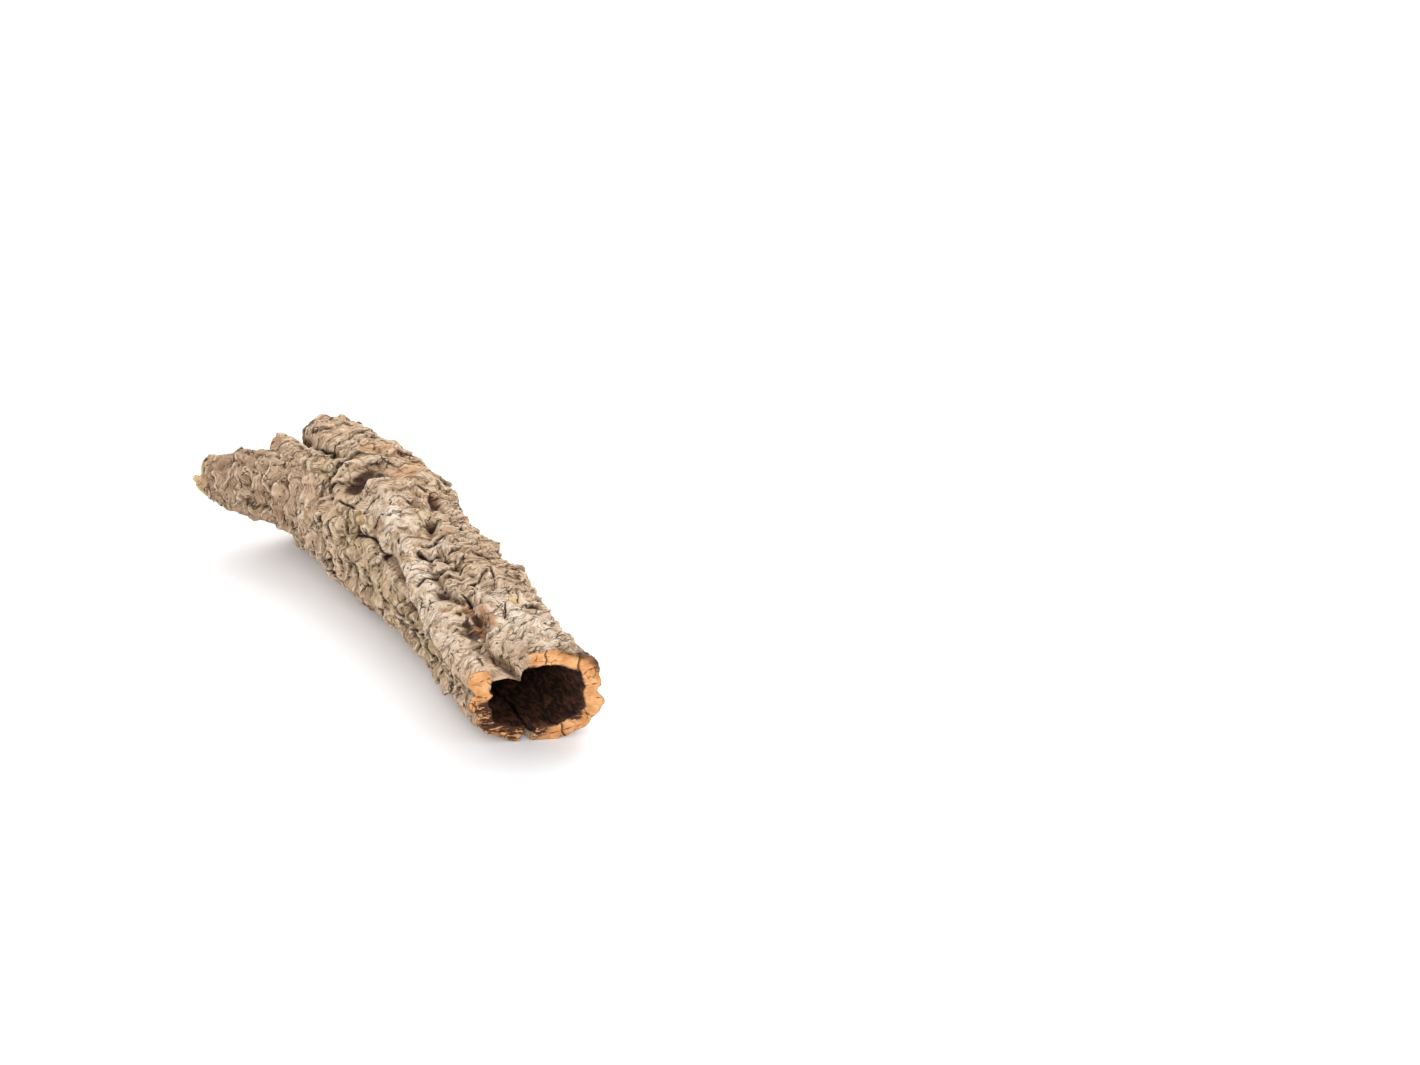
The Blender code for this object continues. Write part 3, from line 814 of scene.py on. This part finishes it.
def measure(points, maps, branch):
    """Relief, hollowness and distances to the surfaces, for each point."""
    x, y, z = points.T
    start = TRUNK[0][0]
    angle, radius = trunk_place(x, y, z)
    trunk_gap, lining_gap = [radius - look_up(table, start, x, angle) for table in maps[:2]]
    along, turn, side, branch_gap, bore_gap = branch_gaps(x, y, z, branch)
    branch_gap, bore_gap = [np.where(along > 0, gap, FAR) for gap in (branch_gap, bore_gap)]
    on_branch = branch_gap < trunk_gap

    def either(trunk_table, branch_table):
        on_trunk = look_up(trunk_table, start, x, angle)
        return np.where(on_branch, look_up(branch_table, 0, along, turn), on_trunk)

    def below_mean(steps):
        return either(*[blurred(table, steps) - table for table in (maps[2], branch[2])])

    trunk_only = np.where(on_branch, 0.0, 1.0)
    return {
        "x": x, "y": y, "z": z, "angle": angle, "along": along, "trunk": trunk_only,
        "across": either(maps[3], branch[3]),
        # How far each point lies below the nearby relief, for painted shade in creases and hollows and painted
        # highlights on crests
        "crease_shading": below_mean(CREASE_BLUR), "hollow": below_mean(HOLLOW_BLUR),
        "cracks": straight_cracks(x, angle) * trunk_only,
        "outer_gap": np.minimum(np.abs(trunk_gap), np.abs(branch_gap)),
        "inner_gap": np.minimum(np.abs(lining_gap), np.abs(bore_gap)),
        "wall": np.clip(-trunk_gap / np.maximum(lining_gap - trunk_gap, 0.1), 0, 1),
        "torn_gap": np.minimum(np.abs(BROKEN_X - x) / 2, np.abs(tip_distance(along, side))),
    }


def spots(y, z, places):
    """Share of a spot on the sawn face."""
    share = np.zeros_like(y)
    for at_y, at_z, size in places:
        share = np.maximum(share, np.exp(-((y - at_y) ** 2 + (z - at_z) ** 2) / size ** 2))
    return share


def sawn_cracks(y, z):
    """Share of the cracks in the sawn face."""
    share = np.zeros_like(y)
    for (y0, z0), (y1, z1), width in SAWN_CRACKS:
        run_y, run_z = y1 - y0, z1 - z0
        t = np.clip(((y - y0) * run_y + (z - z0) * run_z) / (run_y ** 2 + run_z ** 2), 0, 1)
        wander = SAWN_CRACK_WANDER * np.sin(7 * t + y0)
        away = np.hypot(y - y0 - t * run_y + wander, z - z0 - t * run_z)
        share = np.maximum(share, np.exp(-(away / width) ** 2))
    return share


def tongue(y, z):
    """Share of the folded-in bark that interrupts the sawn ring at the top."""
    y = y + sum(wide * np.sin(z / long) for wide, long in TONGUE_WAVES)
    return ease(*TONGUE_LEFT, y) * (1 - ease(*TONGUE_RIGHT, y)) * ease(*TONGUE_LOW, z)


def add_values(mesh, name, values):
    layer = mesh.attributes.new(name, "FLOAT", "POINT")
    layer.data.foreach_set("value", values.astype(np.float32))


def sort_faces(mesh, found):
    """Material of each face; the sawn ones have theirs."""
    corners = np.empty(len(mesh.loops), dtype=int)
    mesh.loops.foreach_get("vertex_index", corners)
    first, before = np.empty((2, len(mesh.polygons)), dtype=int)
    mesh.polygons.foreach_get("loop_start", first)
    mesh.polygons.foreach_get("material_index", before)
    count = np.diff(np.append(first, len(corners)))

    def over_face(values):
        return np.add.reduceat(values[corners], first) / count

    outer, inner, torn = [over_face(found[name]) for name in ("outer_gap", "inner_gap", "torn_gap")]
    kind = np.where(inner < outer, LINING, BARK)
    kind = np.where((torn < TORN_NEAR) & (np.minimum(outer, inner) > TORN_CLEAR), TORN, kind)
    folded_in = over_face(tongue(found["y"], found["z"])) > 0.5
    kind = np.where(before == SAWN, np.where(folded_in, BARK, SAWN), kind)
    mesh.polygons.foreach_set("material_index", kind)
    mesh.polygons.foreach_set("use_smooth", np.ones(len(kind), dtype=bool))


# Materials

# Tones of each material, as sRGB from 0 to 255; the bark's crest is a painted highlight, and its hollow,
# crease and pit are painted shade
BARK_TONES = {
    "tan": (181, 151, 122), "light tan": (203, 175, 146), "ochre": (160, 129, 98), "cream": (218, 197, 172),
    "branch": (138, 110, 86), "pale": (226, 209, 190), "olive": (176, 157, 114), "yellow": (220, 186, 132),
    "rust": (186, 138, 98), "crest": (224, 205, 181), "layer line": (98, 71, 47), "hollow": (100, 73, 50),
    "crease_shading": (62, 43, 30), "tip": (220, 188, 136), "lip": (184, 134, 93), "pit_shade": (60, 40, 30),
    "char": (58, 47, 43), "crack": (54, 37, 27), "pinhole": (54, 38, 28),
}
SAWN_TONES = {
    "fresh": (234, 177, 121), "orange": (205, 143, 88), "streak": (176, 114, 66), "grain": (160, 103, 62),
    "inner edge": (66, 40, 26), "brown": (70, 43, 28), "skin": (110, 82, 60), "char": (48, 38, 34),
    "red": (150, 78, 52), "crack": (84, 48, 27), "fleck": (92, 52, 30),
}
LINING_TONES = {"near black": (34, 21, 14), "brown": (92, 57, 37), "reddish": (124, 78, 50)}
TORN_TONES = {"straw": (212, 172, 124), "brown": (170, 126, 86), "grain": (116, 82, 56)}
# Distance between the drawn edges of layers
LINES_APART = 2.0


class Shading:
    """Builds a material's nodes on the colour and the relief, in millimetres, that it has so far.

    A value may be a number, a node's output or the name of one of the mesh's values.
    """

    def __init__(self, name, roughness, tones, base):
        self.material = bpy.data.materials.new(name)
        self.material.use_nodes = True
        self.nodes = self.material.node_tree.nodes
        self.surface = self.nodes["Principled BSDF"].inputs
        self.put(self.surface["Roughness"], roughness)
        self.put(self.surface["Specular IOR Level"], 0.25)
        self.place = self.vector("DIVIDE", self.add("TexCoord", {})["Object"], (MM, MM, MM))
        self.tones = {tone: srgb(*values) for tone, values in tones.items()}
        self.colour = self.tones[base]
        self.relief = 0.0

    def put(self, socket, value):
        if isinstance(value, str):
            value = self.add("Attribute", {}, attribute_name=value)["Fac"]
        if isinstance(value, bpy.types.NodeSocket):
            self.material.node_tree.links.new(value, socket)
        elif isinstance(value, tuple) and socket.type == "RGBA":
            socket.default_value = (*value, 1)
        else:
            socket.default_value = value

    def add(self, kind, values, **settings):
        """Outputs of a new node with these values at its inputs."""
        node = self.nodes.new("ShaderNode" + kind)
        for name, setting in settings.items():
            setattr(node, name, setting)
        for name, value in values.items():
            self.put(node.inputs[name], value)
        return node.outputs

    def vector(self, operation, first, second):
        return self.add("VectorMath", {0: first, 1: second}, operation=operation)["Vector"]

    def math(self, operation, *values):
        return self.add("Math", dict(enumerate(values)), operation=operation)[0]

    def plus(self, first, second):
        return self.math("ADD", first, second)

    def times(self, first, second):
        return self.math("MULTIPLY", first, second)

    def measured(self, size, push):
        """Place in sizes of one feature, pushed about by noise of this size and amount."""
        place = self.vector("DIVIDE", self.place, size if isinstance(size, tuple) else (size, size, size))
        if not push:
            return place
        colour = self.add("TexNoise", {"Vector": place, "Scale": 1 / push[0]})["Color"]
        centred = self.vector("SUBTRACT", colour, (0.5, 0.5, 0.5))
        reach = 2 * push[1]
        return self.vector("ADD", place, self.vector("MULTIPLY", centred, (reach, reach, reach)))

    def noise(self, size, detail, roughness=0.55, push=None):
        values = {"Vector": self.measured(size, push), "Scale": 1.0, "Detail": detail, "Roughness": roughness}
        return self.add("TexNoise", values)["Fac"]

    def share(self, value, low, high):
        """0 at low to 1 at high, smoothly."""
        values = {"Value": value, "From Min": min(low, high), "From Max": max(low, high),
                  "To Min": float(low > high), "To Max": float(low < high)}
        return self.add("MapRange", values, interpolation_type="SMOOTHSTEP")["Result"]

    def frayed(self, value, noise, amount):
        """Value with the noise, which lies round 0.5, laid on it."""
        return self.plus(value, self.times(self.math("SUBTRACT", noise, 0.5), amount))

    def splits(self, size, push, outer, inner):
        """Thin cracks between cells of this size."""
        values = {"Vector": self.measured(size, push), "Scale": 1.0}
        return self.share(self.add("TexVoronoi", values, feature="DISTANCE_TO_EDGE")["Distance"], outer, inner)

    def holes(self, size, outer, inner, chosen):
        """Round holes, one in each chosen cell of this size."""
        cell = self.add("TexVoronoi", {"Vector": self.measured(size, None), "Scale": 1.0})
        return self.times(self.share(cell["Distance"], outer, inner), self.share(cell["Color"], *chosen))

    def paint(self, tone, share, strength=1.0):
        """Lays a tone over the colour so far, by the share times the strength."""
        values = {0: self.times(share, strength), 6: self.colour, 7: self.tones[tone]}
        self.colour = self.add("Mix", values, data_type="RGBA")[2]

    def lift(self, share, rise):
        """Raises the relief so far, or lowers it, by the share times the rise."""
        self.relief = self.plus(self.relief, self.times(share, rise))

    def finish(self):
        """Links the colour, and the relief as a bump."""
        self.put(self.surface["Base Color"], self.colour)
        self.put(self.surface["Normal"], self.add("Bump", {"Distance": MM, "Height": self.relief})["Normal"])
        return self.material


def srgb(red, green, blue):
    """Linear colour of an sRGB colour from 0 to 255."""
    shares = [value / 255 for value in (red, green, blue)]
    return tuple(s / 12.92 if s <= 0.04045 else ((s + 0.055) / 1.055) ** 2.4 for s in shares)


def bark_material():
    """Tan to grey bark with layers, cracks, pinholes, a few stains, painted shade in hollows and painted crest
    highlights.
    """
    look = Shading("cork bark", 0.88, BARK_TONES, "tan")
    wide = look.noise(26, 2)
    patchy = look.noise(7, 4, 0.65)
    grainy = look.noise(1.1, 3, 0.7)
    fibrous = look.noise((3, 9, 9), 3, 0.65, (1.5, 0.6))
    across = look.plus("across", look.times(look.noise(3.5, 2), 2.2))
    turns = look.math("DIVIDE", across, LINES_APART)
    halfway = look.math("ABSOLUTE", look.math("SUBTRACT", look.math("FRACT", turns), 0.5))
    line = look.share(halfway, 0.2, 0.0)
    lined = look.share(look.noise((7, 9, 9), 2), 0.38, 0.5)
    look.put(look.surface["Roughness"], look.plus(look.times(patchy, 0.3), 0.7))

    look.paint("light tan", look.share(wide, 0.35, 0.65))
    look.paint("ochre", look.share(patchy, 0.45, 0.68))
    look.paint("cream", look.share(grainy, 0.5, 0.72), 0.4)
    look.paint("branch", "branch", 0.4)
    look.paint("pale", look.times("pale", look.share(patchy, 0.68, 0.4)))
    look.paint("olive", "green", 0.5)
    look.paint("yellow", "yellow", 0.85)
    look.paint("rust", look.share(look.frayed("orange", fibrous, 2.2), 0.4, 0.9), 0.7)
    # Painted highlight on the crests of the relief
    look.paint("crest", look.share("crease_shading", -0.05, -0.7), 0.6)
    look.paint("layer line", look.times(line, lined), 0.7)
    # Painted shade in the wide hollows of the relief
    look.paint("hollow", look.share("hollow", 0.3, 3.6), 0.75)
    # Painted shade in the creases of the relief
    look.paint("crease_shading", look.share("crease_shading", 0.25, 1.2), 0.9)
    look.paint("tip", look.times("tip", look.share(patchy, 0.35, 0.6)))
    look.paint("lip", look.share(look.frayed("lip", fibrous, 1.0), 0.3, 1.0), 0.8)
    # Painted shade in the pits and knot hollows
    pit_shade = look.times("dark", look.share("hollow", -1.2, 1.6))
    look.paint("pit_shade", look.share(look.frayed(pit_shade, fibrous, 1.1), 0.25, 0.7), 0.85)
    look.paint("char", look.times("charred", look.share(fibrous, 0.35, 0.5)))

    split = look.splits((7, 13, 13), (0.7, 0.4), 0.04, 0.012)
    crack = look.times(split, look.share(look.noise(11, 2), 0.5, 0.56))
    crack = look.math("MAXIMUM", crack, look.share("cracks", 0.7, 1.7))
    look.paint("crack", crack, 0.85)
    pinhole = look.holes(3.8, 0.17, 0.12, (0.5, 0.54))
    look.paint("pinhole", pinhole, 0.85)

    edge = look.math("FRACT", look.plus(turns, 0.5))
    wrinkle = look.math("SUBTRACT", look.noise((2.24, 3.2, 3.2), 2, 0.5), 0.5)
    look.lift(grainy, 0.2)
    look.lift(look.math("ABSOLUTE", wrinkle), 1.2)
    look.lift(look.times(edge, lined), 0.6)
    look.lift(crack, -0.8)
    look.lift(pinhole, -0.6)
    return look.finish()


def sawn_material():
    """Orange-tan sawn cork, cracked across the wall and charred at its edges."""
    look = Shading("sawn cork", 0.8, SAWN_TONES, "fresh")
    patchy = look.noise(7, 4, 0.6)
    grainy = look.noise(0.9, 3, 0.7)
    streak = look.noise((3, 6, 1.2), 3, 0.6, (1.5, 0.5))
    blotch = look.noise((2.5, 5, 1.6), 3, 0.6)
    wall = look.frayed("wall", patchy, 0.45)

    look.paint("orange", look.share(patchy, 0.35, 0.65))
    look.paint("streak", look.share(streak, 0.5, 0.7), 0.5)
    look.paint("grain", look.share(grainy, 0.5, 0.72), 0.4)
    look.paint("inner edge", look.share(wall, 0.84, 1.0))
    look.paint("brown", look.times(look.share("brown", 0.15, 0.6), look.share(blotch, 0.38, 0.48)))
    look.paint("skin", look.share(wall, 0.05, -0.03), 0.75)
    look.paint("char", look.times("charred", look.share(wall, 0.45, 0.2)))
    look.paint("red", "red", 0.6)

    split = look.splits((30, 10, 10), (0.7, 0.3), 0.022, 0.006)
    crack = look.times(split, look.share(look.noise(9, 1), 0.52, 0.58))
    crack = look.math("MAXIMUM", crack, look.share("saw_cracks", 0.3, 0.8))
    look.paint("crack", crack, 0.8)
    fleck = look.holes(2.9, 0.2, 0.1, (0.55, 0.6))
    look.paint("fleck", fleck, 0.8)
    look.lift(grainy, 0.3)
    look.lift(crack, -0.6)
    look.lift(fleck, -0.3)
    return look.finish()


def lining_material():
    """Near-black brown lining of the hollow, with reddish fibres along it."""
    look = Shading("dark lining", 0.7, LINING_TONES, "near black")
    fibre = look.noise((5, 1.6, 1.6), 3, 0.65, (2.5, 1.4))
    look.paint("brown", look.share(fibre, 0.42, 0.66))
    look.paint("reddish", look.share(look.noise(9, 3), 0.55, 0.72), 0.6)
    look.lift(fibre, 1.0)
    return look.finish()


def torn_material():
    """Torn cork at the broken ends, orange-brown with fibres."""
    look = Shading("torn cork", 0.88, TORN_TONES, "straw")
    patchy = look.noise(5, 4, 0.65)
    grainy = look.noise(1.1, 3, 0.7)
    look.paint("brown", look.share(patchy, 0.35, 0.65))
    look.paint("grain", look.share(grainy, 0.5, 0.75), 0.5)
    look.lift(grainy, 0.3)
    look.lift(patchy, 1.2)
    return look.finish()


def make_bark():
    """The whole piece, with its values and materials."""
    maps = trunk_maps()
    branch = branch_maps()
    solid, corner = solid_field(maps, branch)

    def hidden(points):
        gaps = measure(points, maps, branch)
        return gaps["inner_gap"] < gaps["outer_gap"]

    mesh = surface_mesh(solid, corner, hidden)
    saw_off(mesh)
    points = mesh_points(mesh)
    found = measure(points, maps, branch)
    y, z = found["y"], found["z"]
    for name in ("across", "crease_shading", "hollow", "cracks", "wall"):
        add_values(mesh, name, found[name])
    for name, places in STAINS_AND_PIT_SHADE.items():
        add_values(mesh, name, patches(found["x"], found["angle"], places, 1) * found["trunk"])
    for name, growth in (("branch", BRANCH_DARKENS), ("tip", TIP_PALES)):
        add_values(mesh, name, ease(*growth, found["along"]) * (1 - found["trunk"]))
    at_saw = ease(*SPOTS_GROW, saw_distance(found["x"], y, z))
    for name, places in SPOTS.items():
        add_values(mesh, name, spots(y, z, places) * at_saw)
    add_values(mesh, "saw_cracks", sawn_cracks(y, z))
    for material in (bark_material(), sawn_material(), lining_material(), torn_material()):
        mesh.materials.append(material)
    sort_faces(mesh, found)
    points[:, 2] = np.clip(z, FLOOR_CLEARANCE, HIGHEST)
    mesh.vertices.foreach_set("co", points.ravel())
    mesh.transform(Matrix.Scale(MM, 4) @ Matrix.Translation((-MIDDLE[0], -MIDDLE[1], 0)))
    piece = add_object("cork_bark", mesh)
    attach(piece, "root")
    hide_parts("bark")


# Studio

CAMERA_AZIMUTH, CAMERA_ELEVATION, CAMERA_DISTANCE = 61.5, 31, 1600
LENS, SENSOR = 70, 36
PHOTO_WIDTH, PHOTO_HEIGHT = 1420, 1065
# Where the design frame's origin lies in the photograph, in pixels from its top left
ORIGIN_PIXEL = (400, 600)
FLOOR_SIZE, FLOOR_COLOUR, FLOOR_ROUGHNESS = 12, (0.96, 0.96, 0.97, 1), 0.9
WORLD_STRENGTH = 1.16
# Lamps: place and size in metres, and power
LAMPS = {"key": ((-0.8, 1.0, 1.7), 2.0, 21), "front": ((1.6, -0.4, 1.0), 1.2, 4)}


def make_camera():
    azimuth, elevation = np.radians(CAMERA_AZIMUTH), np.radians(CAMERA_ELEVATION)
    level = np.cos(elevation)
    back = Vector((np.sin(azimuth) * level, -np.cos(azimuth) * level, np.sin(elevation)))
    right = Vector((np.cos(azimuth), np.sin(azimuth), 0))
    up = back.cross(right)
    pixel = CAMERA_DISTANCE * SENSOR / LENS / PHOTO_WIDTH
    beside = (ORIGIN_PIXEL[0] - PHOTO_WIDTH / 2) * pixel
    above = (PHOTO_HEIGHT / 2 - ORIGIN_PIXEL[1]) * pixel
    place = back * CAMERA_DISTANCE - right * beside - up * above - Vector((*MIDDLE, 0))
    data = bpy.data.cameras.new("camera")
    data.lens = LENS
    data.sensor_width = SENSOR
    data.clip_start = 0.01
    camera = add_object("camera", data)
    camera.matrix_world = Matrix.Translation(place * MM) @ Matrix((right, up, back)).transposed().to_4x4()
    bpy.context.scene.camera = camera


def make_floor():
    bpy.ops.mesh.primitive_plane_add(size=FLOOR_SIZE)
    floor = bpy.context.object
    floor.name = "floor"
    material = bpy.data.materials.new("white floor")
    material.use_nodes = True
    surface = material.node_tree.nodes["Principled BSDF"]
    surface.inputs["Base Color"].default_value = FLOOR_COLOUR
    surface.inputs["Roughness"].default_value = FLOOR_ROUGHNESS
    surface.inputs["Specular IOR Level"].default_value = 0.0
    floor.data.materials.append(material)


def make_lamp(name, place, size, power):
    """Soft square lamp that faces the piece."""
    data = bpy.data.lights.new(name, "AREA")
    data.size = size
    data.energy = power
    lamp = add_object(name, data)
    lamp.location = place
    lamp.rotation_euler = Vector(place).to_track_quat("Z", "Y").to_euler()


def make_light():
    world = bpy.data.worlds.new("studio")
    world.use_nodes = True
    background = world.node_tree.nodes["Background"]
    background.inputs["Color"].default_value = (1, 1, 1, 1)
    background.inputs["Strength"].default_value = WORLD_STRENGTH
    bpy.context.scene.world = world
    for name, (place, size, power) in LAMPS.items():
        make_lamp(name, place, size, power)
    bpy.context.scene.view_settings.view_transform = "Standard"


make_bark()
make_camera()
make_floor()
make_light()
